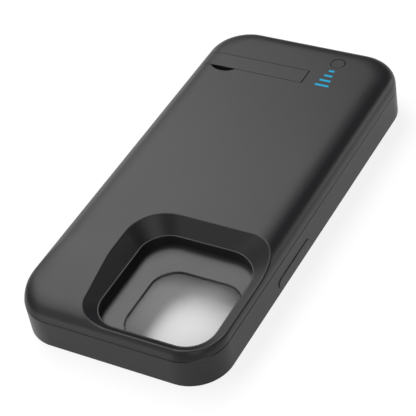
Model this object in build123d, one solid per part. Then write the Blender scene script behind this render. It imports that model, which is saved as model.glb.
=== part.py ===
from build123d import *
import math
import os

# Battery charging case, lying on its open side with the back up.
# Millimetres. +Z is up, +X the side-key wall, -Y the camera end, +Y the charging end.
# The origin is at the middle of the footprint, on the surface that the case lies on.

# Overall form
case_width = 77.0
case_length = 161.5
corner_radius = 14.4
seam_height = 11.5
back_height = 18.7
seam_chamfer = 0.3
bottom_edge_radius = 0.3

# Shoulders of the back: a vertical wall, then a superellipse up to the flat. The camera end's leans inwards.
shoulder_start = 11.9
shoulder_power = 3.05
side_run = 11.5
far_run = 7.8
near_run = 10.4
near_power = 3.2
near_lean = 1.8
slope_angle = 5.5
slope_length = 33.75
slope_blend = 6.0
far_plateau_radius = 9.4
near_plateau_radius = 4.0
shoulder_station_degrees = (0, 1, 3, 8, 18, 32, 46, 60, 75, 90)
slope_station_shares = (1 / 3, 2 / 3, 1)
blend_station_shares = (0.75, 0.5, 0.3, 0.15, 0)

# Pocket for the device
side_wall = 2.4
near_wall = 2.3
chin_length = 11.0
pocket_radius = 11.6
pocket_depth = 7.8
lip_thickness = 1.2
lip_overhang = 1.6
lip_chamfer = 0.4

# Walls, seats and clearances
housing_wall = 2.0
top_wall = 1.5
tray_thickness = 1.0
rebate_wall = 1.25
seat_clearance = 0.1
piece_clearance = 0.05

# Camera opening: inner rim, its place and height, and the run of the taper on each side at full height
opening_width = 43.3
opening_length = 45.1
opening_side_margin = 4.71
opening_end_margin = 5.22
rim_radius = 10.0
rim_radius_far_right = 12.5
rim_height = 13.5
rim_ledge = 0.5
outer_rim_rounding = 0.7
inner_rim_rounding = 0.25
taper_left = 5.7
taper_far = 5.4
taper_right = 12.4
taper_near = 10.0
taper_radius_left = 14.0
taper_radius_right = 20.0
well_wall = 1.4
ledge_width = 9.7
ledge_length = 11.8
cutout_radius = 9.0
cutout_chamfer = 0.25

# Folding stand
bar_width = 7.4
bar_from_end = 21.85
hinge_from_side = 32.9
bar_side_margin = 3.1
bar_thickness = 1.6
bar_corner_radius = 0.5
pin_radius = 0.45
pin_bite = 0.8
bar_side_gap = 0.2
bar_floor_gap = 0.3
hinge_clearance = 0.1
trough_wall = 1.0
notch_from_bar_end = 8.9
notch_chord = 10.7
notch_depth = 2.4

# Power button and its switch
button_from_side = 23.4
button_from_end = 10.85
button_diameter = 5.4
button_gap = 0.2
button_flange = 0.9
button_travel = 0.35
button_reserve = 0.1
button_edge_radius = 0.2
stem_diameter = 2.4
switch_size = 4.0
plunger_diameter = 1.8
flange_share = 2 / 9
stem_share = 4 / 27
plunger_share = 4 / 27

# Charge lights: bars in a row, each shorter than the one before
light_count = 4
light_from_side = 23.8
light_from_end = 24.65
light_pitch = 2.94
light_longest = 5.5
light_step = 1.1
light_width = 0.95
guide_base_thickness = 0.6
guide_margin = 0.8
guide_room = 0.2
led_length = 1.6
led_width = 0.8
led_height = 0.6

# Side keys and the slide-switch slot, placed from the camera end
key_height = 4.1
key_centre_z = 3.95
key_gap = 0.2
key_proud = 0.25
key_travel = 0.4
key_flange = 0.8
key_flange_thickness = 0.6
key_nub_height = 1.8
key_nub_share = 0.4
side_key_from_end = 60.75
side_key_length = 24.0
volume_up_from_end = 39.75
volume_down_from_end = 53.25
volume_key_length = 11.0
switch_slot_from_end = 25.75
switch_slot_length = 9.0
switch_slot_height = 4.6
switch_slot_z = 4.4
switch_slot_radius = 1.4

# Battery
cell_side_room = 8.5
cell_near_room = 3.1
cell_from_end = 34.75
cell_top_room = 0.9
cell_edge_radius = 1.2
pad_thickness = 0.3
pad_margin = 4.0
rail_height = 1.5
rail_thickness = 0.8
rail_gap = 0.3
protection_width = 28.0
protection_length = 3.2
protection_thickness = 0.8
protection_gap = 0.5
tab_spacing = 16.0
tab_width = 4.0
tab_thickness = 0.2
tab_rise = 1.2
lead_radius = 0.45
lead_spacing = 3.0
lead_length = 8.0
lead_bite = 1.5
lead_start = 1.0
plug_block_width = 7.5
plug_block_length = 4.0
plug_block_floor_room = 0.6

# Control board, carried by bosses under the back
board_side_room = 6.5
board_from_end = 4.25
board_length = 26.5
board_radius = 10.0
board_thickness = 1.0
board_level_share = 5 / 12
boss_radius = 2.1
boss_root = 0.6
screw_radius = 0.75
screw_head_radius = 1.6
screw_head_height = 0.9
screw_head_chamfer = 0.3
screw_bite = 1.9
screw_tip_room = 0.5
screw_side_inset = 3.5
screw_far_inset = 8.5
screw_near_inset = 3.0
middle_screw_side_inset = 28.0
middle_screw_inset = 11.0
controller_size = 5.0
controller_height = 0.9
controller_side_inset = 20.0
controller_inset = 7.0
inductor_size = 6.5
inductor_floor_room = 0.7
inductor_side_inset = 12.0
inductor_inset = 18.5
inductor_radius = 1.5
capacitor_length = 2.0
capacitor_width = 1.25
capacitor_height = 1.2
capacitor_count = 5
capacitor_pitch = 2.6
capacitor_gap = 2.25
capacitor_inset = 18.0

# Chin: the hollow end of the frame, with the connectors
chin_radius = 3.0
chin_inner_wall = 1.6
chin_outer_wall = 1.8
chin_floor = 1.4
chin_board_width = 44.0
chin_board_side_room = 5.0
chin_board_thickness = 0.8
chin_board_gap = 0.6
chin_board_rise = 1.6
chin_screw_inset = 2.5
plug_width = 6.6
plug_thickness = 1.5
plug_reach = 6.55
plug_slot_gap = 0.4
plug_base_width = 10.0
plug_base_length = 1.9
plug_base_height = 2.7
plug_bite = 1.4
socket_width = 9.0
socket_height = 3.2
socket_length = 6.3
socket_wall = 0.3
socket_back = 0.6
socket_recess = 0.3
socket_gap = 0.15
blade_width = 6.7
blade_thickness = 0.7
blade_short = 0.9
sound_slot_count = 3
sound_slot_first_x = 11.0
sound_slot_pitch = 4.6
sound_slot_length = 3.2
sound_slot_height = 1.4
ribbon_side_inset = 10.5
ribbon_width = 8.0
ribbon_thickness = 0.2
ribbon_end_inset = 1.2
ribbon_connector_width = 9.0
ribbon_connector_length = 1.8
ribbon_connector_height = 1.0
ribbon_slot_gap = 0.5

# Levels and faces that follow from these
half_width = case_width / 2
near_y = -case_length / 2
far_y = case_length / 2
pocket_width = case_width - 2 * side_wall
pocket_near_y = near_y + near_wall
pocket_far_y = far_y - chin_length
pocket_length = pocket_far_y - pocket_near_y
pocket_centre_y = (pocket_near_y + pocket_far_y) / 2
tray_bottom = lip_thickness + pocket_depth
tray_top = tray_bottom + tray_thickness
ceiling = back_height - top_wall
rim_right = half_width - opening_side_margin
rim_left = rim_right - opening_width
rim_near = near_y + opening_end_margin
rim_far = rim_near + opening_length
bar_centre_y = far_y - bar_from_end
bar_end_x = bar_side_margin - half_width
hinge_x = half_width - hinge_from_side
hinge_z = back_height - bar_thickness / 2
notch_centre_x = bar_end_x + notch_from_bar_end
button_x = half_width - button_from_side
button_y = far_y - button_from_end
light_x = half_width - light_from_side
light_first_y = far_y - light_from_end
key_recess_depth = key_flange_thickness + key_travel + 2 * piece_clearance
cell_width = case_width - 2 * cell_side_room
cell_near_y = rim_far + taper_far + well_wall + cell_near_room
cell_far_y = far_y - cell_from_end
cell_bottom = tray_top + pad_thickness
cell_top = ceiling - cell_top_room
board_half_width = half_width - board_side_room
board_far_y = far_y - board_from_end
board_near_y = board_far_y - board_length
board_bottom = tray_top + board_level_share * (ceiling - tray_top)
board_top = board_bottom + board_thickness
button_stack = ceiling - board_top - piece_clearance - button_travel - button_reserve
flange_top = ceiling - piece_clearance
flange_bottom = flange_top - flange_share * button_stack
stem_bottom = flange_bottom - stem_share * button_stack
plunger_top = stem_bottom - button_travel - button_reserve
plunger_bottom = plunger_top - plunger_share * button_stack
board_screw_places = (
    (screw_side_inset - board_half_width, board_far_y - screw_far_inset),
    (board_half_width - screw_side_inset, board_far_y - screw_far_inset),
    (board_half_width - screw_side_inset, board_near_y + screw_near_inset),
    (middle_screw_side_inset - board_half_width, board_far_y - middle_screw_inset),
)
chin_near_y = pocket_far_y + chin_inner_wall
chin_far_y = far_y - chin_outer_wall
chin_middle_y = (chin_near_y + chin_far_y) / 2
chin_board_bottom = chin_floor + chin_board_rise
chin_board_top = chin_board_bottom + chin_board_thickness
chin_width = chin_board_width + 2 * chin_board_side_room
chin_screw_x = chin_board_width / 2 - chin_screw_inset
ribbon_x = ribbon_side_inset - chin_board_width / 2
chin_screw_places = ((-chin_screw_x, chin_middle_y), (chin_screw_x, chin_middle_y))
plug_z = lip_thickness + pocket_depth / 2
socket_z = chin_board_top + socket_height / 2
key_places = {
    "side_key": (1, near_y + side_key_from_end, side_key_length),
    "volume_up_key": (-1, near_y + volume_up_from_end, volume_key_length),
    "volume_down_key": (-1, near_y + volume_down_from_end, volume_key_length),
}


def block(x0, x1, y0, y1, z0, z1):
    """A box between two corners."""
    centre = ((x0 + x1) / 2, (y0 + y1) / 2, (z0 + z1) / 2)
    return Pos(*centre) * Box(x1 - x0, y1 - y0, z1 - z0)


def rod(x, y, z0, z1, radius):
    """An upright cylinder."""
    return Pos(x, y, (z0 + z1) / 2) * Cylinder(radius, z1 - z0)


def plate(width, length, radius, z0, z1, centre_y=0.0):
    """A plate with rounded plan corners, on the centre line."""
    return Pos(0, centre_y, z0) * extrude(RectangleRounded(width, length, radius), z1 - z0)


def pill(plane, length, height, depth):
    """A round-ended prism that stands on a plane, long along the plane's x."""
    return extrude(plane * SlotOverall(length, height), depth)


def rounded_outline(left, right, near, far, near_left, near_right, far_right, far_left):
    """A rectangle's face with a radius of its own at each corner."""
    arcs = [
        CenterArc((left + near_left, near + near_left), near_left, 180, 90),
        CenterArc((right - near_right, near + near_right), near_right, 270, 90),
        CenterArc((right - far_right, far - far_right), far_right, 0, 90),
        CenterArc((left + far_left, far - far_left), far_left, 90, 90),
    ]
    edges = []
    for i in range(4):
        edges.append(arcs[i])
        edges.append(Line(arcs[i] @ 1, arcs[(i + 1) % 4] @ 0))
    return make_face(edges)


def shoulder_inset(run, share):
    """How far a shoulder has come inwards at a share of its rise."""
    return run * (1 - (1 - share ** shoulder_power) ** (1 / shoulder_power))


def slope_stations():
    """Distance from the camera end's wall and rise, up its shoulder and along the slope to the flat."""
    rise = back_height - shoulder_start
    grade = math.tan(math.radians(slope_angle))
    near_rise = rise - grade * (slope_length - slope_blend / 2)
    stations = []
    for angle in shoulder_station_degrees:
        turn = math.radians(angle)
        share = math.sin(turn) ** (2 / near_power)
        bow = 1 - math.cos(turn) ** (2 / near_power)
        distance = near_lean * share + (near_run - near_lean) * bow
        stations.append((distance, near_rise * share + grade * distance))
    blend_start = slope_length - slope_blend
    for share in slope_station_shares:
        distance = near_run + share * (blend_start - near_run)
        stations.append((distance, near_rise + grade * distance))
    for left in blend_station_shares:
        drop = grade * slope_blend * left ** 2 / 2
        stations.append((slope_length - slope_blend * left, rise - drop))
    return stations


def back_body(inset=0.0, drop=0.0, bottom=0.0):
    """The outer form of the back, or the same form moved inwards and down."""
    rise = back_height - shoulder_start
    foot = RectangleRounded(case_width - 2 * inset, case_length - 2 * inset, corner_radius - inset)
    sections = []
    for distance, height in slope_stations():
        share = min(height / rise, 1.0)
        side = half_width - inset - shoulder_inset(side_run, share)
        far = far_y - inset - shoulder_inset(far_run, share)
        near = near_y + inset + distance
        near_radius = corner_radius - inset + (near_plateau_radius - corner_radius) * share ** 3
        far_radius = corner_radius - inset
        far_radius += shoulder_inset(far_plateau_radius - corner_radius, share)
        face = rounded_outline(-side, side, near, far, near_radius, near_radius, far_radius, far_radius)
        sections.append(Pos(0, 0, shoulder_start - drop + height) * face)
    wall = extrude(Pos(0, 0, bottom) * foot, shoulder_start - drop - bottom)
    return wall + loft(sections)


def rim_outline(grow):
    """The inner rim of the camera opening, grown outwards."""
    corner = rim_radius + grow
    return rounded_outline(rim_left - grow, rim_right + grow, rim_near - grow, rim_far + grow,
                           corner, corner, rim_radius_far_right + grow, corner)


def opening_collar(grow=0.0):
    """The straight part of the camera opening, from the tray up to the inner rim."""
    return extrude(Pos(0, 0, tray_top) * rim_outline(grow), rim_height - tray_top)


def opening_taper(grow=0.0):
    """The tapered part of the camera opening, from a narrow ledge at the inner rim up through the back."""
    top = back_height + seam_chamfer
    reach = (top - rim_height) / (back_height - rim_height)
    left_radius = rim_radius + grow + (taper_radius_left - rim_radius) * reach
    right_radius = rim_radius + grow + (taper_radius_right - rim_radius) * reach
    high = rounded_outline(rim_left - grow - taper_left * reach,
                           rim_right + grow + taper_right * reach,
                           rim_near - grow - taper_near * reach,
                           rim_far + grow + taper_far * reach,
                           left_radius, right_radius, right_radius, left_radius)
    return loft([Pos(0, 0, rim_height) * rim_outline(grow + rim_ledge), Pos(0, 0, top) * high], ruled=True)


def bar_prism(side, end, hinge):
    """An upright prism over the stand's plan, grown by a gap on its sides, free end and hinge end."""
    return block(bar_end_x - end, hinge_x + bar_thickness / 2 + hinge,
                 bar_centre_y - bar_width / 2 - side, bar_centre_y + bar_width / 2 + side,
                 tray_top, back_height + seam_chamfer)


def thumb_notch(grow=0.0):
    """A crescent beside the stand's near edge, where a nail lifts it."""
    chord = notch_chord / 2
    radius = (chord ** 2 + notch_depth ** 2) / (2 * notch_depth)
    edge_y = bar_centre_y - bar_width / 2
    top = back_height + seam_chamfer
    disc = rod(notch_centre_x, edge_y - bar_side_gap - notch_depth + radius, tray_top, top, radius + grow)
    beside = block(notch_centre_x - radius - grow, notch_centre_x + radius + grow,
                   edge_y - 2 * radius, edge_y, tray_top, top)
    return disc & beside


def key_frame(side, y):
    """A plane on the side wall's outer face, with its x along the case and its z outwards."""
    return Plane((side * half_width, y, key_centre_z), x_dir=(0, side, 0), z_dir=(side, 0, 0))


def key_opening(side, y, length):
    """The hole for a key's cap, and the recess for its flange on the inside of the wall."""
    wall = half_width - pocket_width / 2
    outer = key_frame(side, y)
    floor = outer.offset(-wall)
    hole = pill(floor, length, key_height, wall)
    grown = 2 * (key_flange + piece_clearance)
    recess = pill(floor, length + grown, key_height + grown, key_recess_depth)
    return hole + recess


def key_piece(side, y, length):
    """A key: a proud cap, a flange that keeps it in the wall, and a nub that presses inwards."""
    wall = half_width - pocket_width / 2
    outer = key_frame(side, y)
    seat = wall - key_recess_depth
    flange_plane = outer.offset(-seat - piece_clearance - key_flange_thickness)
    cap_length = length - 2 * key_gap
    cap_height = key_height - 2 * key_gap
    cap = pill(flange_plane, cap_length, cap_height,
               seat + piece_clearance + key_flange_thickness + key_proud)
    cap = fillet(cap.faces().sort_by(Axis.X)[-1 if side > 0 else 0].edges(), key_proud)
    grown = 2 * (key_flange - key_gap)
    flange = pill(flange_plane, length + grown, key_height + grown, key_flange_thickness)
    nub_reach = key_recess_depth - piece_clearance - key_flange_thickness
    nub = pill(flange_plane.offset(-nub_reach), length * key_nub_share, key_nub_height, nub_reach)
    return cap + flange + nub


def bumper_frame():
    """Lower frame: pocket, lip, seat for the tray and the back, and the hollow chin."""
    frame = plate(case_width, case_length, corner_radius, 0, seam_height)
    frame = fillet(frame.edges().group_by(Axis.Z)[0], bottom_edge_radius)
    frame = chamfer(frame.edges().group_by(Axis.Z)[-1], seam_chamfer)
    frame -= plate(pocket_width, pocket_length, pocket_radius, lip_thickness, tray_bottom,
                   pocket_centre_y)
    mouth_cut = 2 * lip_overhang
    mouth = plate(pocket_width - mouth_cut, pocket_length - mouth_cut, pocket_radius - lip_overhang,
                  0, lip_thickness, pocket_centre_y)
    frame -= mouth
    frame = chamfer(frame.faces().sort_by(Axis.Z)[0].inner_wires()[0].edges(), lip_chamfer)
    frame -= plate(case_width - 2 * rebate_wall, case_length - 2 * rebate_wall,
                   corner_radius - rebate_wall, tray_bottom, seam_height)
    frame -= plate(chin_width, chin_far_y - chin_near_y, chin_radius, chin_floor, tray_bottom, chin_middle_y)
    for x, y in chin_screw_places:
        frame += rod(x, y, chin_floor, chin_board_bottom, boss_radius)
        frame -= rod(x, y, chin_board_bottom - screw_bite - piece_clearance, chin_board_bottom,
                     screw_radius + piece_clearance)
    plug_wall = Plane((0, pocket_far_y, plug_z), x_dir=(1, 0, 0), z_dir=(0, 1, 0))
    frame -= pill(plug_wall, plug_width + 2 * plug_slot_gap, plug_thickness + 2 * plug_slot_gap,
                  chin_inner_wall)
    end_wall = Plane((0, chin_far_y, socket_z), x_dir=(1, 0, 0), z_dir=(0, 1, 0))
    frame -= pill(end_wall, socket_width + 2 * socket_gap, socket_height + 2 * socket_gap,
                  chin_outer_wall)
    for side in (-1, 1):
        for i in range(sound_slot_count):
            x = side * (sound_slot_first_x + i * sound_slot_pitch)
            frame -= pill(Pos(x, 0, 0) * end_wall, sound_slot_length, sound_slot_height, chin_outer_wall)
            frame -= pill(Pos(x, pocket_far_y - chin_far_y, 0) * end_wall, sound_slot_length,
                          sound_slot_height, chin_inner_wall)
    for place in key_places.values():
        frame -= key_opening(*place)
    switch_slot_y = near_y + switch_slot_from_end
    slot = block(-half_width, -pocket_width / 2, switch_slot_y - switch_slot_length / 2,
                 switch_slot_y + switch_slot_length / 2, switch_slot_z - switch_slot_height / 2,
                 switch_slot_z + switch_slot_height / 2)
    frame -= fillet(slot.edges().filter_by(Axis.X), switch_slot_radius)
    return frame


def inner_tray():
    """Floor between pocket and battery, with the camera cut-out and the cell's side rails."""
    gap = 2 * (rebate_wall + seat_clearance)
    tray = plate(case_width - gap, case_length - gap, corner_radius - gap / 2, tray_bottom, tray_top)
    hole = rounded_outline(rim_left + ledge_width, rim_right, rim_near, rim_far - ledge_length,
                           cutout_radius, cutout_radius, cutout_radius, cutout_radius)
    tray -= extrude(Pos(0, 0, tray_bottom) * hole, tray_thickness)
    tray = chamfer(tray.faces().sort_by(Axis.Z)[-1].inner_wires()[0].edges(), cutout_chamfer)
    rail_x = cell_width / 2 + rail_gap
    for side in (-1, 1):
        inner, outer = sorted((side * rail_x, side * (rail_x + rail_thickness)))
        tray += block(inner, outer, cell_near_y + cell_edge_radius, cell_far_y - cell_edge_radius,
                      tray_top, tray_top + rail_height)
    slot_y = ribbon_y()
    tray -= block(ribbon_x - ribbon_connector_width / 2 - ribbon_slot_gap,
                  ribbon_x + ribbon_connector_width / 2 + ribbon_slot_gap,
                  slot_y - ribbon_connector_length / 2 - ribbon_slot_gap,
                  slot_y + ribbon_connector_length / 2 + ribbon_slot_gap, tray_bottom, tray_top)
    return tray


def ribbon_y():
    """Where the ribbon runs between the boards: near the far edge of the chin's board."""
    return chin_far_y - chin_board_gap - ribbon_end_inset - ribbon_connector_length / 2


def hinge_room():
    """Free room that the hinge end's corner needs past the bar's own half thickness."""
    half = bar_thickness / 2
    return math.hypot(half, half) - half + hinge_clearance


def back_housing():
    """Moulded back shell with the opening's well, the stand's trough, bosses and holes."""
    outer = back_body(bottom=seam_height)
    outer = chamfer(outer.edges().group_by(Axis.Z)[0], seam_chamfer)
    tongue = plate(case_width - 2 * (rebate_wall + seat_clearance),
                   case_length - 2 * (rebate_wall + seat_clearance),
                   corner_radius - rebate_wall - seat_clearance, tray_top, seam_height)
    solid = outer + tongue
    taper = opening_taper()
    shell = solid - taper
    rim = new_edges(solid, taper, combined=shell).filter_by(lambda edge: (edge @ 0.5).Z > rim_height)
    shell = fillet(rim, outer_rim_rounding) - opening_collar()
    flats = shell.faces().filter_by(Plane.XY)
    ledge = flats.sort_by(lambda face: abs(face.center().Z - rim_height))[0]
    shell = fillet(ledge.inner_wires()[0].edges(), inner_rim_rounding)
    well = opening_collar(well_wall) + opening_taper(well_wall)
    shell -= back_body(housing_wall, top_wall) - well
    depth = bar_thickness + bar_floor_gap
    room = hinge_room()
    trough = bar_prism(bar_side_gap + trough_wall, bar_side_gap + trough_wall, room + trough_wall)
    trough += thumb_notch(trough_wall)
    shell += (trough & outer) - back_body(depth + trough_wall, depth + trough_wall)
    for x, y in board_screw_places:
        shell += rod(x, y, board_top, ceiling + boss_root, boss_radius)
        shell -= rod(x, y, board_top, board_top + screw_bite + screw_tip_room,
                     screw_radius + piece_clearance)
    pocket = bar_prism(bar_side_gap, bar_side_gap, room) + thumb_notch()
    shell -= pocket - back_body(depth, depth)
    pin_half = bar_width / 2 + bar_side_gap + pin_bite
    pin_hole = Pos(hinge_x, bar_centre_y, hinge_z) * Rot(90, 0, 0)
    shell -= pin_hole * Cylinder(pin_radius + piece_clearance, 2 * pin_half + 2 * piece_clearance)
    above = back_height + seam_chamfer
    shell -= rod(button_x, button_y, ceiling, above, button_diameter / 2 + button_gap)
    shell -= rod(button_x, button_y, board_top, ceiling, button_diameter / 2 + button_flange + button_gap)
    for y, length in light_bars():
        half = length / 2 + piece_clearance
        shell -= block(light_x - half, light_x + half, y - light_width / 2 - piece_clearance,
                       y + light_width / 2 + piece_clearance, ceiling, above)
    return shell - guide_base(board_top, ceiling, guide_room)


def kickstand_bar():
    """Stand: a strip of the back's own surface, with a rounded hinge end and a pin hole."""
    strip = (bar_prism(0, 0, 0) & back_body()) - back_body(bar_thickness, bar_thickness)
    hinge_end = strip.edges().filter_by(Axis.Y).group_by(Axis.X)[-1]
    strip = fillet(hinge_end.sort_by(Axis.Z)[0], bar_corner_radius)
    hole = Pos(hinge_x, bar_centre_y, hinge_z) * Rot(90, 0, 0)
    return strip - hole * Cylinder(pin_radius + piece_clearance, bar_width)


def kickstand_pin():
    length = bar_width + 2 * bar_side_gap + 2 * pin_bite
    return Pos(hinge_x, bar_centre_y, hinge_z) * Rot(90, 0, 0) * Cylinder(pin_radius, length)


def power_button():
    """Flanged cap with a short stem over the switch."""
    cap = rod(button_x, button_y, flange_bottom, back_height, button_diameter / 2)
    flange = rod(button_x, button_y, flange_bottom, flange_top, button_diameter / 2 + button_flange)
    stem = rod(button_x, button_y, stem_bottom, flange_bottom, stem_diameter / 2)
    cap = fillet(cap.edges().sort_by(Axis.Z)[-1], button_edge_radius)
    return cap + flange + stem


def power_switch():
    half = switch_size / 2
    body = block(button_x - half, button_x + half, button_y - half, button_y + half,
                 board_top, plunger_bottom)
    return body + rod(button_x, button_y, plunger_bottom, plunger_top, plunger_diameter / 2)


def light_bars():
    """Place along Y and length of each charge bar."""
    return [(light_first_y + i * light_pitch, light_longest - i * light_step) for i in range(light_count)]


def guide_base(bottom, top, grow=0.0):
    """The light guide's base, or the room for it under the back."""
    half_length = light_longest / 2 + guide_margin + grow
    last_y = light_first_y + (light_count - 1) * light_pitch
    edge = light_width / 2 + guide_margin + grow
    return block(light_x - half_length, light_x + half_length, light_first_y - edge, last_y + edge,
                 bottom, top)


def light_guide():
    """Clear moulding: bars up through the back's slots, on one base under it."""
    base_top = ceiling - piece_clearance
    guide = guide_base(base_top - guide_base_thickness, base_top)
    for y, length in light_bars():
        guide += block(light_x - length / 2, light_x + length / 2, y - light_width / 2,
                       y + light_width / 2, base_top, back_height)
    return guide


def charge_leds():
    chips = []
    for y, _ in light_bars():
        chips.append(block(light_x - led_length / 2, light_x + led_length / 2, y - led_width / 2,
                           y + led_width / 2, board_top, board_top + led_height))
    return Compound(children=chips)


def control_board():
    board = plate(2 * board_half_width, board_length, board_radius, board_bottom, board_top,
                  (board_near_y + board_far_y) / 2)
    for x, y in board_screw_places:
        board -= rod(x, y, board_bottom, board_top, screw_radius + piece_clearance)
    return board


def screw(x, y, seat, up, grip):
    """A pan-head screw whose head rests on a seat and whose shank points up or down."""
    head_end = seat - up * screw_head_height
    shank_end = seat + up * grip
    head = rod(x, y, min(seat, head_end), max(seat, head_end), screw_head_radius)
    rim = head.edges().filter_by(GeomType.CIRCLE).sort_by(Axis.Z)[0 if up > 0 else -1]
    head = chamfer(rim, screw_head_chamfer)
    return head + rod(x, y, min(seat, shank_end), max(seat, shank_end), screw_radius)


def board_screws():
    return Compound(children=[screw(x, y, board_bottom, 1, board_thickness + screw_bite)
                              for x, y in board_screw_places])


def connector_screws():
    return Compound(children=[screw(x, y, chin_board_top, -1, chin_board_thickness + screw_bite)
                              for x, y in chin_screw_places])


def charge_controller():
    x = controller_side_inset - board_half_width
    y = board_far_y - controller_inset
    half = controller_size / 2
    return block(x - half, x + half, y - half, y + half, board_top, board_top + controller_height)


def power_inductor():
    x = inductor_side_inset - board_half_width
    y = board_far_y - inductor_inset
    half = inductor_size / 2
    body = block(x - half, x + half, y - half, y + half, tray_top + inductor_floor_room, board_bottom)
    return fillet(body.edges().filter_by(Axis.Z), inductor_radius)


def filter_capacitors():
    y = board_far_y - capacitor_inset
    chips = []
    for i in range(capacitor_count):
        left = plug_block_width / 2 + capacitor_gap + i * capacitor_pitch
        chips.append(block(left, left + capacitor_width, y, y + capacitor_length,
                           board_bottom - capacitor_height, board_bottom))
    return Compound(children=chips)


def battery_cell():
    cell = block(-cell_width / 2, cell_width / 2, cell_near_y, cell_far_y, cell_bottom, cell_top)
    return fillet(cell.edges(), cell_edge_radius)


def battery_pad():
    half = cell_width / 2 - pad_margin
    return block(-half, half, cell_near_y + pad_margin, cell_far_y - pad_margin,
                 tray_top, cell_bottom)


def protection_span():
    """The protection board's near and far edges, just past the end of the cell."""
    near = cell_far_y + protection_gap
    return near, near + protection_length


def protection_board():
    near, far = protection_span()
    return block(-protection_width / 2, protection_width / 2, near, far,
                 tray_top, tray_top + protection_thickness)


def cell_tabs():
    """Two bent strips from the end of the cell down to the protection board."""
    near, far = protection_span()
    foot = tray_top + protection_thickness
    middle = (near + far) / 2 - lead_start
    tabs = []
    for x in (-tab_spacing / 2, tab_spacing / 2):
        run = block(x - tab_width / 2, x + tab_width / 2, cell_far_y, middle, foot + tab_rise,
                    foot + tab_rise + tab_thickness)
        leg = block(x - tab_width / 2, x + tab_width / 2, middle - tab_thickness, middle, foot,
                    foot + tab_rise)
        tabs.append(run + leg)
    return Compound(children=tabs)


def lead_z():
    return tray_top + protection_thickness + lead_radius


def battery_leads():
    _, far = protection_span()
    start = far - lead_start
    end = far + lead_length + lead_bite
    leads = []
    for x in (-lead_spacing / 2, lead_spacing / 2):
        leads.append(Pos(x, (start + end) / 2, lead_z()) * Rot(90, 0, 0)
                     * Cylinder(lead_radius, end - start))
    return Compound(children=leads)


def battery_connector():
    """Block under the control board that takes the two leads."""
    _, far = protection_span()
    near = far + lead_length
    body = block(-plug_block_width / 2, plug_block_width / 2, near, near + plug_block_length,
                 tray_top + plug_block_floor_room, board_bottom)
    for x in (-lead_spacing / 2, lead_spacing / 2):
        body -= Pos(x, near + lead_bite / 2, lead_z()) * Rot(90, 0, 0) * Cylinder(
            lead_radius + piece_clearance, lead_bite + 2 * piece_clearance)
    return body


def connector_board():
    near = chin_near_y + chin_board_gap
    far = chin_far_y - chin_board_gap
    board = block(-chin_board_width / 2, chin_board_width / 2, near, far,
                  chin_board_bottom, chin_board_top)
    for x, y in chin_screw_places:
        board -= rod(x, y, chin_board_bottom, chin_board_top, screw_radius + piece_clearance)
    return board


def plug_tongue(grow=0.0):
    """The plug's blade, from inside its base out into the pocket."""
    root = chin_near_y + chin_board_gap + plug_bite
    tip = pocket_far_y - plug_reach
    plane = Plane((0, root, plug_z), x_dir=(1, 0, 0), z_dir=(0, -1, 0))
    return pill(plane, plug_width + 2 * grow, plug_thickness + 2 * grow, root - tip)


def dock_plug():
    tongue = plug_tongue()
    tip = tongue.faces().sort_by(Axis.Y)[0]
    return fillet(tip.edges(), plug_thickness / 4)


def plug_base():
    near = chin_near_y + chin_board_gap
    base = block(-plug_base_width / 2, plug_base_width / 2, near, near + plug_base_length,
                 chin_board_top, chin_board_top + plug_base_height)
    return base - plug_tongue(piece_clearance)


def socket_plane(y):
    return Plane((0, y, socket_z), x_dir=(1, 0, 0), z_dir=(0, 1, 0))


def charging_socket():
    """Drawn metal shell of the charging socket, open to the end of the case."""
    mouth = far_y - socket_recess
    shell = pill(socket_plane(mouth - socket_length), socket_width, socket_height, socket_length)
    shell -= pill(socket_plane(mouth - socket_length + socket_back), socket_width - 2 * socket_wall,
                  socket_height - 2 * socket_wall, socket_length - socket_back)
    return shell


def socket_blade():
    """Insulating blade in the middle of the socket."""
    mouth = far_y - socket_recess
    root = mouth - socket_length + socket_back
    return block(-blade_width / 2, blade_width / 2, root, mouth - blade_short,
                 socket_z - blade_thickness / 2, socket_z + blade_thickness / 2)


def board_ribbon():
    y = ribbon_y()
    return block(ribbon_x - ribbon_width / 2, ribbon_x + ribbon_width / 2, y - ribbon_thickness / 2,
                 y + ribbon_thickness / 2, chin_board_top + ribbon_connector_height,
                 board_bottom - ribbon_connector_height)


def ribbon_connectors():
    y = ribbon_y()
    blocks = []
    for bottom in (chin_board_top, board_bottom - ribbon_connector_height):
        blocks.append(block(ribbon_x - ribbon_connector_width / 2, ribbon_x + ribbon_connector_width / 2,
                            y - ribbon_connector_length / 2, y + ribbon_connector_length / 2,
                            bottom, bottom + ribbon_connector_height))
    return Compound(children=blocks)


pieces = {
    "bumper_frame": bumper_frame,
    "inner_tray": inner_tray,
    "back_housing": back_housing,
    "kickstand_bar": kickstand_bar,
    "kickstand_pin": kickstand_pin,
    "power_button": power_button,
    "power_switch": power_switch,
    "light_guide": light_guide,
    "charge_leds": charge_leds,
    "control_board": control_board,
    "board_screws": board_screws,
    "charge_controller": charge_controller,
    "power_inductor": power_inductor,
    "filter_capacitors": filter_capacitors,
    "battery_cell": battery_cell,
    "battery_pad": battery_pad,
    "protection_board": protection_board,
    "cell_tabs": cell_tabs,
    "battery_leads": battery_leads,
    "battery_connector": battery_connector,
    "connector_board": connector_board,
    "connector_screws": connector_screws,
    "dock_plug": dock_plug,
    "plug_base": plug_base,
    "charging_socket": charging_socket,
    "socket_blade": socket_blade,
    "board_ribbon": board_ribbon,
    "ribbon_connectors": ribbon_connectors,
}

os.makedirs("parts", exist_ok=True)
for name, make in pieces.items():
    export_step(make(), f"parts/{name}.step")
for name, place in key_places.items():
    export_step(key_piece(*place), f"parts/{name}.step")
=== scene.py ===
import math

import bpy
import numpy as np
from mathutils import Matrix, Vector


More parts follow.
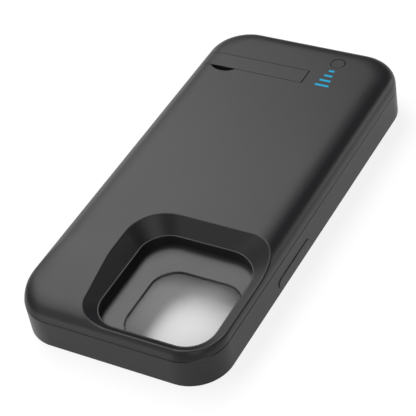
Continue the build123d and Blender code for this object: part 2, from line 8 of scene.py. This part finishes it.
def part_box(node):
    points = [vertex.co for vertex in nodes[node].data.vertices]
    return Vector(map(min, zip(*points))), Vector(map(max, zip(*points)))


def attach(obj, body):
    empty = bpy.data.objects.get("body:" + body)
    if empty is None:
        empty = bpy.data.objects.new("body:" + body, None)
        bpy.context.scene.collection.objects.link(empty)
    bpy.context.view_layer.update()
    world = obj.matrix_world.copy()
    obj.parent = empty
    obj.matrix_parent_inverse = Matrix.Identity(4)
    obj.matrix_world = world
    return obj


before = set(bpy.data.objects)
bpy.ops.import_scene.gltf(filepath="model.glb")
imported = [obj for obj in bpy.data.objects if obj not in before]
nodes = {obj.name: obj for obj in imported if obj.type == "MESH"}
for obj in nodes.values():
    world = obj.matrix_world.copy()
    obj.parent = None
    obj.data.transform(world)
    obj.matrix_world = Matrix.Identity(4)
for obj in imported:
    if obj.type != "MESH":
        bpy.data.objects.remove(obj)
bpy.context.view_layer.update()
scene = bpy.context.scene
scene.view_settings.view_transform = "Standard"
mm = 0.001  # one millimetre in metres

# the sRGB curve: a straight part near black, then a power of the value plus an offset
srgbCurve = {"straightEnd": 0.04045, "straightSlope": 12.92, "offset": 0.055, "power": 2.4}


def linearColour(hexText):  # sRGB hex to the linear colour that Blender works in
    values = np.array([int(hexText[i:i + 2], 16) / 255 for i in (1, 3, 5)])
    straight = values / srgbCurve["straightSlope"]
    curved = ((values + srgbCurve["offset"]) / (1 + srgbCurve["offset"])) ** srgbCurve["power"]
    return (*np.where(values <= srgbCurve["straightEnd"], straight, curved).tolist(), 1.0)


def fillNode(tree, node, inputs):  # a socket as a value makes a link
    for key, value in inputs.items():
        if isinstance(value, bpy.types.NodeSocket):
            tree.links.new(value, node.inputs[key])
        else:
            node.inputs[key].default_value = value


def addNode(tree, kind, inputs, **settings):
    node = tree.nodes.new(kind)
    for key, value in settings.items():
        setattr(node, key, value)
    fillNode(tree, node, inputs)
    return node


def startMaterial(name):
    material = bpy.data.materials.new(name)
    material.use_nodes = True
    return material, material.node_tree


def perMetre(sizeMm):  # texture scale for features of this size, on Object coordinates in metres
    return 1 / (sizeMm * mm)


# Finishes. Each starts from the real material: what it is, how its surface was made, and what the eye gets.
# tone and drift are the ends of a slow colour drift of driftMm; grainMm is the size of the surface's grain.
# The real grains are finer than the render's pixels, so they are drawn two to three times coarser to show.
finishes = {
    # polycarbonate sprayed with soft-touch lacquer: a wide dim sheen, no sharp reflection
    "softTouchPolycarbonate": {
        "tone": "#1f1f21", "drift": "#222224", "driftMm": 26.0, "grainMm": 0.45, "grainHeightMm": 0.004,
        "roughness": (0.38, 0.40), "ior": 1.50, "gloss": 0.30},
    # ABS moulded against a spark-eroded tool: fine even grain and a dull sheen
    "sparkGrainAbs": {
        "tone": "#1f1f21", "drift": "#222224", "driftMm": 18.0, "grainMm": 0.50, "grainHeightMm": 0.010,
        "roughness": (0.37, 0.40), "ior": 1.52, "gloss": 0.25},
    # ABS moulded against a plain tool, half gloss: the tray, seen inside the opening and the pocket
    "mouldedAbs": {
        "tone": "#1f1f21", "drift": "#232325", "driftMm": 14.0, "grainMm": 0.60, "grainHeightMm": 0.004,
        "roughness": (0.32, 0.35), "ior": 1.52, "gloss": 0.35},
    # zinc-plated steel, turned: grey, with an uneven sheen
    "platedSteel": {
        "tone": "#9a9a98", "drift": "#a6a6a3", "driftMm": 1.6, "grainMm": 0.15, "grainHeightMm": 0.003,
        "roughness": (0.28, 0.40), "metallic": 1.0},
    # stainless strip, drawn through a die: bright with a soft grain
    "drawnStainless": {
        "tone": "#b9b9bb", "drift": "#c4c4c6", "driftMm": 3.0, "grainMm": 0.20, "grainHeightMm": 0.002,
        "roughness": (0.22, 0.32), "metallic": 1.0},
    # copper alloy plated with hard gold: pale yellow and smooth
    "hardGoldPlate": {
        "tone": "#c8a24e", "drift": "#d4b060", "driftMm": 0.9, "grainMm": 0.15, "grainHeightMm": 0.001,
        "roughness": (0.20, 0.30), "metallic": 1.0},
    # nickel strip, rolled: warm grey, dull
    "rolledNickel": {
        "tone": "#a59f95", "drift": "#b2aca1", "driftMm": 2.0, "grainMm": 0.18, "grainHeightMm": 0.003,
        "roughness": (0.30, 0.42), "metallic": 1.0},
    # glass-fibre laminate under solder mask: deep green, half gloss, a little uneven from the fibres below
    "solderMaskLaminate": {
        "tone": "#12402a", "drift": "#1a5235", "driftMm": 4.0, "grainMm": 0.50, "grainHeightMm": 0.010,
        "roughness": (0.30, 0.42), "ior": 1.50},
    # epoxy moulding compound: dull black, for the switch, the chip and the socket's blade
    "mouldedEpoxy": {
        "tone": "#1d1d1e", "drift": "#262627", "driftMm": 1.2, "grainMm": 0.20, "grainHeightMm": 0.006,
        "roughness": (0.55, 0.68), "ior": 1.55},
    # pressed ferrite: dark grey and dry
    "pressedFerrite": {
        "tone": "#3b3b3e", "drift": "#4a4a4d", "driftMm": 0.9, "grainMm": 0.25, "grainHeightMm": 0.010,
        "roughness": (0.50, 0.70), "ior": 1.70},
    # fired ceramic of chip capacitors: warm tan
    "firedCeramic": {
        "tone": "#8f7257", "drift": "#a1846a", "driftMm": 0.8, "grainMm": 0.15, "grainHeightMm": 0.003,
        "roughness": (0.45, 0.58), "ior": 1.60},
    # laminated pouch foil: soft silver with shallow dents
    "pouchFoil": {
        "tone": "#a9abae", "drift": "#b8babd", "driftMm": 9.0, "grainMm": 3.00, "grainHeightMm": 0.030,
        "roughness": (0.32, 0.46), "metallic": 0.9},
    # adhesive foam: flat black, rough with open cells
    "adhesiveFoam": {
        "tone": "#1c1c1c", "drift": "#282828", "driftMm": 0.8, "grainMm": 0.35, "grainHeightMm": 0.050,
        "roughness": (0.85, 0.95), "ior": 1.45},
    # silicone insulation, extruded: soft red
    "siliconeInsulation": {
        "tone": "#8c1f1c", "drift": "#9c2924", "driftMm": 3.0, "grainMm": 0.30, "grainHeightMm": 0.003,
        "roughness": (0.42, 0.54), "ior": 1.43},
    # nylon, moulded: ivory connector bodies
    "mouldedNylon": {
        "tone": "#c7c2b2", "drift": "#d2cdbd", "driftMm": 2.2, "grainMm": 0.25, "grainHeightMm": 0.004,
        "roughness": (0.42, 0.52), "ior": 1.53},
    # polyimide film: amber, glossy and a little uneven
    "polyimideFilm": {
        "tone": "#a8691f", "drift": "#b97a2c", "driftMm": 3.5, "grainMm": 0.60, "grainHeightMm": 0.004,
        "roughness": (0.20, 0.30), "ior": 1.66},
    # clear casting resin over a light chip: pale yellow and glossy
    "castResin": {
        "tone": "#d8d3a4", "drift": "#e2deb6", "driftMm": 0.6, "grainMm": 0.20, "grainHeightMm": 0.002,
        "roughness": (0.12, 0.20), "ior": 1.54},
}
# what a finish has where it names no other value
plainLook = {"metallic": 0.0, "gloss": 0.5}
# the noises behind the finishes, and the part of the drift's range that is spread over the roughness
noises = {"drift": {"Detail": 3.0, "Roughness": 0.55}, "grain": {"Detail": 2.0, "Roughness": 0.6},
          "glow": {"Detail": 1.0, "Roughness": 0.5}}
driftSpan = (0.3, 0.7)
# the Mix node's colour sockets go by number, because its other sockets have the same names
mixSockets = {"first": 6, "second": 7, "result": 2}


def driftingTone(tree, place, look, noise):  # a slow noise, and the mix of tone and drift that it gives
    drift = addNode(tree, "ShaderNodeTexNoise", {
        "Vector": place, "Scale": perMetre(look["driftMm"]), **noise}).outputs["Fac"]
    tone = addNode(tree, "ShaderNodeMix", {
        "Factor": drift, mixSockets["first"]: linearColour(look["tone"]),
        mixSockets["second"]: linearColour(look["drift"])}, data_type="RGBA")
    return drift, tone.outputs[mixSockets["result"]]


def makeFinish(name, look):
    look = {**plainLook, **look}
    material, tree = startMaterial(name)
    place = addNode(tree, "ShaderNodeTexCoord", {}).outputs["Object"]
    # slow drift of tone and sheen over the surface
    drift, tone = driftingTone(tree, place, look, noises["drift"])
    sheen = addNode(tree, "ShaderNodeMapRange", {
        "Value": drift, "From Min": driftSpan[0], "From Max": driftSpan[1],
        "To Min": look["roughness"][0], "To Max": look["roughness"][1]})
    # the grain of the tool or the process
    grain = addNode(tree, "ShaderNodeTexNoise", {
        "Vector": place, "Scale": perMetre(look["grainMm"]), **noises["grain"]})
    relief = addNode(tree, "ShaderNodeBump", {
        "Height": grain.outputs["Fac"], "Strength": 1.0, "Distance": look["grainHeightMm"] * mm})
    shader = tree.nodes["Principled BSDF"]
    fillNode(tree, shader, {
        "Base Color": tone, "Roughness": sheen.outputs["Result"], "Normal": relief.outputs["Normal"],
        "Metallic": look["metallic"], "Specular IOR Level": look["gloss"]})
    if "ior" in look:  # a metal keeps the default
        fillNode(tree, shader, {"IOR": look["ior"]})
    return material


finish = {name: makeFinish(name, look) for name, look in finishes.items()}

# polycarbonate light guide with a frosted face, lit from below: an even blue bar with a slight drift of tone
lightBars = {"tone": "#0aadd9", "drift": "#08a0cd", "driftMm": 2.4, "body": "#0a2a3a", "glow": 0.92,
             "roughness": 0.55, "ior": 1.585, "gloss": 0.12}


def makeLightGuide(look):
    material, tree = startMaterial("litPolycarbonate")
    place = addNode(tree, "ShaderNodeTexCoord", {}).outputs["Object"]
    tone = driftingTone(tree, place, look, noises["glow"])[1]
    fillNode(tree, tree.nodes["Principled BSDF"], {
        "Base Color": linearColour(look["body"]), "Emission Color": tone, "Emission Strength": look["glow"],
        "Roughness": look["roughness"], "IOR": look["ior"], "Specular IOR Level": look["gloss"]})
    return material


finish["litPolycarbonate"] = makeLightGuide(lightBars)

# the nodes that wear each finish
wearers = {
    "softTouchPolycarbonate": ("back_housing", "power_button", "kickstand_bar"),
    "sparkGrainAbs": ("bumper_frame", "side_key", "volume_up_key", "volume_down_key"),
    "mouldedAbs": ("inner_tray",),
    "litPolycarbonate": ("light_guide",),
    "castResin": ("charge_leds",),
    "platedSteel": ("kickstand_pin", "board_screws", "connector_screws"),
    "solderMaskLaminate": ("control_board", "protection_board", "connector_board"),
    "mouldedEpoxy": ("power_switch", "charge_controller", "socket_blade"),
    "pressedFerrite": ("power_inductor",),
    "firedCeramic": ("filter_capacitors",),
    "pouchFoil": ("battery_cell",),
    "adhesiveFoam": ("battery_pad",),
    "rolledNickel": ("cell_tabs",),
    "siliconeInsulation": ("battery_leads",),
    "mouldedNylon": ("battery_connector", "plug_base", "ribbon_connectors"),
    "polyimideFilm": ("board_ribbon",),
    "drawnStainless": ("dock_plug", "charging_socket"),
}
dressed = set()
for finishName, nodeNames in wearers.items():
    for nodeName in nodeNames:
        mesh = nodes[nodeName].data
        mesh.materials.clear()
        mesh.materials.append(finish[finishName])
        dressed.add(nodeName)
bare = sorted(set(nodes) - dressed)
print("finishes:", len(finish), "made,", len(dressed), "nodes dressed, left bare:", bare)

# contact pads on both broad faces of the plug and of the socket's blade; tip is the end along Y that mates
contactRows = {
    "plugContacts": {
        "carrier": "dock_plug", "slot": "plug_metal", "count": 6, "pitchMm": 0.84, "wideMm": 0.52,
        "longMm": 2.6, "fromTipMm": 1.1, "tip": -1, "proudMm": 0.03, "sunkMm": 0.06, "edgeMm": 0.02},
    "socketContacts": {
        "carrier": "socket_blade", "slot": "socket_steel", "count": 8, "pitchMm": 0.70, "wideMm": 0.34,
        "longMm": 3.4, "fromTipMm": 0.4, "tip": 1, "proudMm": 0.02, "sunkMm": 0.05, "edgeMm": 0.015},
}
# points around a pad, the superellipse's power, and how far an edge of radius 1 is cut back at its middle
padGrid = {"around": 32, "squareness": 5.0, "edgeMiddle": 1 - math.sqrt(0.5)}


def padShape(look):
    # a pad is a superellipse, half size less inset times cos and sin to the power 2/squareness, carried up
    # through four levels: foot, wall, the middle and the end of its rounded edge; a pole closes each end
    around, middle = padGrid["around"], padGrid["edgeMiddle"]
    angle = np.linspace(0, 2 * np.pi, around, endpoint=False)
    ring = np.stack([np.cos(angle), np.sin(angle)], axis=-1)
    ring = np.sign(ring) * np.abs(ring) ** (2 / padGrid["squareness"])
    edge, proud, sunk = (look[key] * mm for key in ("edgeMm", "proudMm", "sunkMm"))
    inset = np.array([0, 0, middle, 1]) * edge
    lift = np.array([-sunk, proud - edge, proud - edge * middle, proud])
    half = np.array([look["wideMm"], look["longMm"]]) * mm / 2
    flat = ring[None] * (half - inset[:, None])[:, None]  # levels, around, xy
    heights = np.broadcast_to(lift[:, None, None], (*flat.shape[:2], 1))
    levels = np.concatenate([flat, heights], axis=-1)
    poles = np.array([(0, 0, lift[0]), (0, 0, lift[-1])])
    points = np.concatenate([levels.reshape(-1, 3), poles])
    here = np.arange(around)
    after = np.roll(here, -1)
    below = np.arange(len(lift) - 1)[:, None] * around
    above = below + around
    walls = np.stack([below + here, below + after, above + after, above + here], axis=-1).reshape(-1, 4)
    foot, cap = len(points) - 2, len(points) - 1
    fans = np.concatenate([np.stack([np.full_like(here, foot), after, here], axis=-1),
                           np.stack([np.full_like(here, cap), above[-1] + here, above[-1] + after], axis=-1)])
    return points, walls, fans


def contactRow(name, look):
    # pads in line across X at an even pitch on the carrier's upper face; half a turn about its long axis
    # gives those of the lower face
    low, high = (np.array(corner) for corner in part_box(look["carrier"]))
    middle = (low + high) / 2
    pad, walls, fans = padShape(look)
    across = (np.arange(look["count"]) - (look["count"] - 1) / 2) * look["pitchMm"] * mm
    tipY = (high if look["tip"] > 0 else low)[1]
    rowY = tipY - look["tip"] * (look["fromTipMm"] + look["longMm"] / 2) * mm
    faceZ = (high - low)[2] / 2
    seats = np.stack([across, np.full_like(across, rowY - middle[1]), np.full_like(across, faceZ)], axis=-1)
    upper = pad[None] + seats[:, None]
    lower = upper * (-1, 1, -1)
    points = np.concatenate([upper, lower]) + middle
    starts = np.arange(len(points))[:, None, None] * len(pad)
    faces = [*(walls + starts).reshape(-1, 4).tolist(), *(fans + starts).reshape(-1, 3).tolist()]
    mesh = bpy.data.meshes.new(name)
    mesh.from_pydata(points.reshape(-1, 3).tolist(), [], faces)
    mesh.materials.append(finish["hardGoldPlate"])
    row = bpy.data.objects.new(name, mesh)
    scene.collection.objects.link(row)
    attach(row, "case")


for rowName, rowLook in contactRows.items():
    contactRow(rowName, rowLook)
print("contacts:", sum(2 * look["count"] for look in contactRows.values()), "pads")

# Studio: a white floor, a dim room and soft boxes; reach, drop and the half sizes of underCase are in metres
studio = {
    "floorReach": 6.0, "floorDrop": 0.00005, "floorTone": "#f4f4f4", "floorGlow": 0.80,
    "floorGlowTone": "#ffffff", "shadowTone": "#898989", "underCase": (0.0342, 0.0764),
    "roomTone": "#ffffff", "roomLight": 0.06}


def makeFloor(look):
    # four corners of a square, a hair below the case so that the two never share a plane
    corners = np.array([(-1, -1, 0), (1, -1, 0), (1, 1, 0), (-1, 1, 0)]) * look["floorReach"]
    corners[:, 2] -= look["floorDrop"]
    mesh = bpy.data.meshes.new("floor")
    mesh.from_pydata(corners.tolist(), [], [(0, 1, 2, 3)])
    floor = bpy.data.objects.new("floor", mesh)
    scene.collection.objects.link(floor)
    material, tree = startMaterial("whiteSweep")
    tree.nodes.clear()
    paper = addNode(tree, "ShaderNodeBsdfDiffuse", {"Color": linearColour(look["floorTone"])})
    # seen by the camera and in reflections, the sweep is white and keeps a light shadow
    glow = addNode(tree, "ShaderNodeEmission", {
        "Color": linearColour(look["floorGlowTone"]), "Strength": look["floorGlow"]})
    thin = addNode(tree, "ShaderNodeBsdfDiffuse", {"Color": linearColour(look["shadowTone"])})
    seen = addNode(tree, "ShaderNodeAddShader", {0: glow.outputs[0], 1: thin.outputs[0]})
    path = addNode(tree, "ShaderNodeLightPath", {})
    direct = addNode(tree, "ShaderNodeMath", {
        0: path.outputs["Is Camera Ray"], 1: path.outputs["Is Glossy Ray"]}, operation="MAXIMUM")
    clear = addNode(tree, "ShaderNodeMath", {
        0: direct.outputs[0], 1: path.outputs["Is Transmission Ray"]}, operation="MAXIMUM")
    # under the case the sweep is plain paper, because none of the wide light gets there
    place = addNode(tree, "ShaderNodeTexCoord", {}).outputs["Object"]
    place = addNode(tree, "ShaderNodeSeparateXYZ", {"Vector": place})
    beyond = []
    for axis, half in zip("XY", look["underCase"]):
        span = addNode(tree, "ShaderNodeMath", {0: place.outputs[axis]}, operation="ABSOLUTE")
        past = addNode(tree, "ShaderNodeMath", {0: span.outputs[0], 1: half}, operation="GREATER_THAN")
        beyond.append(past.outputs[0])
    outside = addNode(tree, "ShaderNodeMath", {0: beyond[0], 1: beyond[1]}, operation="MAXIMUM")
    shown = addNode(tree, "ShaderNodeMath", {
        0: clear.outputs[0], 1: outside.outputs[0]}, operation="MULTIPLY")
    mixed = addNode(tree, "ShaderNodeMixShader", {
        0: shown.outputs[0], 1: paper.outputs[0], 2: seen.outputs[0]})
    addNode(tree, "ShaderNodeOutputMaterial", {"Surface": mixed.outputs[0]})
    mesh.materials.append(material)


def makeRoom(look):
    world = bpy.data.worlds.new("room")
    world.use_nodes = True
    scene.world = world
    tree = world.node_tree
    fillNode(tree, tree.nodes["Background"], {
        "Color": linearColour(look["roomTone"]), "Strength": look["roomLight"]})


# the soft boxes: all as far away and as wide, in metres; each with its bearing from +X and its height in
# degrees, and its power in watts
softBox = {"away": 1.2, "wide": 0.7}
lamps = {
    "keyBox": {"bearing": 134.0, "height": 46.0, "power": 5.8},
    "highLeftBox": {"bearing": 172.0, "height": 62.0, "power": 4.6},
    "nearLeftBox": {"bearing": 225.0, "height": 42.0, "power": 1.6},
    "farStrip": {"bearing": 150.0, "height": 8.0, "power": 2.2},
    "nearStrip": {"bearing": 240.0, "height": 6.0, "power": 4.0},
    "rightStrip": {"bearing": 50.0, "height": 6.0, "power": 4.2},
    "frontFill": {"bearing": 306.0, "height": 34.0, "power": 2.7},
    "rightFill": {"bearing": 328.0, "height": 46.0, "power": 2.4},
}


def makeLamp(name, look):
    bearing, height = math.radians(look["bearing"]), math.radians(look["height"])
    level = math.cos(height)
    towards = Vector((math.cos(bearing) * level, math.sin(bearing) * level, math.sin(height)))
    light = bpy.data.lights.new(name, "AREA")
    light.shape = "DISK"
    light.size = softBox["wide"]
    light.energy = look["power"]
    lamp = bpy.data.objects.new(name, light)
    lamp.location = towards * softBox["away"]
    lamp.rotation_euler = towards.to_track_quat("Z", "Y").to_euler()
    scene.collection.objects.link(lamp)


makeFloor(studio)
makeRoom(studio)
for lampName, lampLook in lamps.items():
    makeLamp(lampName, lampLook)
print("studio: floor, room and", len(lamps), "soft boxes")

# Camera, fitted to the outline and the edges of the case; angles in degrees, away, aim and nearClip in metres
view = {"lensMm": 138.3, "sensorMm": 36.0, "turn": 35.22, "rise": 41.21, "roll": -10.647, "away": 0.579605,
        "aim": (-0.005842, -0.001382, 0.000186), "nearClip": 0.01}


def makeCamera(look):
    turn, rise, roll = (math.radians(look[key]) for key in ("turn", "rise", "roll"))
    back = Vector((math.sin(turn) * math.cos(rise), -math.cos(turn) * math.cos(rise), math.sin(rise)))
    right = Vector((0, 0, 1)).cross(back).normalized()
    up = back.cross(right)
    right, up = (right * math.cos(roll) + up * math.sin(roll), up * math.cos(roll) - right * math.sin(roll))
    data = bpy.data.cameras.new("camera")
    data.lens = look["lensMm"]
    data.sensor_width = look["sensorMm"]
    data.clip_start = look["nearClip"]
    camera = bpy.data.objects.new("camera", data)
    place = Matrix.Translation(back * look["away"] + Vector(look["aim"]))
    camera.matrix_world = place @ Matrix((right, up, back)).transposed().to_4x4()
    scene.collection.objects.link(camera)
    scene.camera = camera


makeCamera(view)
print("camera:", view["lensMm"], "mm lens,", view["away"], "m away")
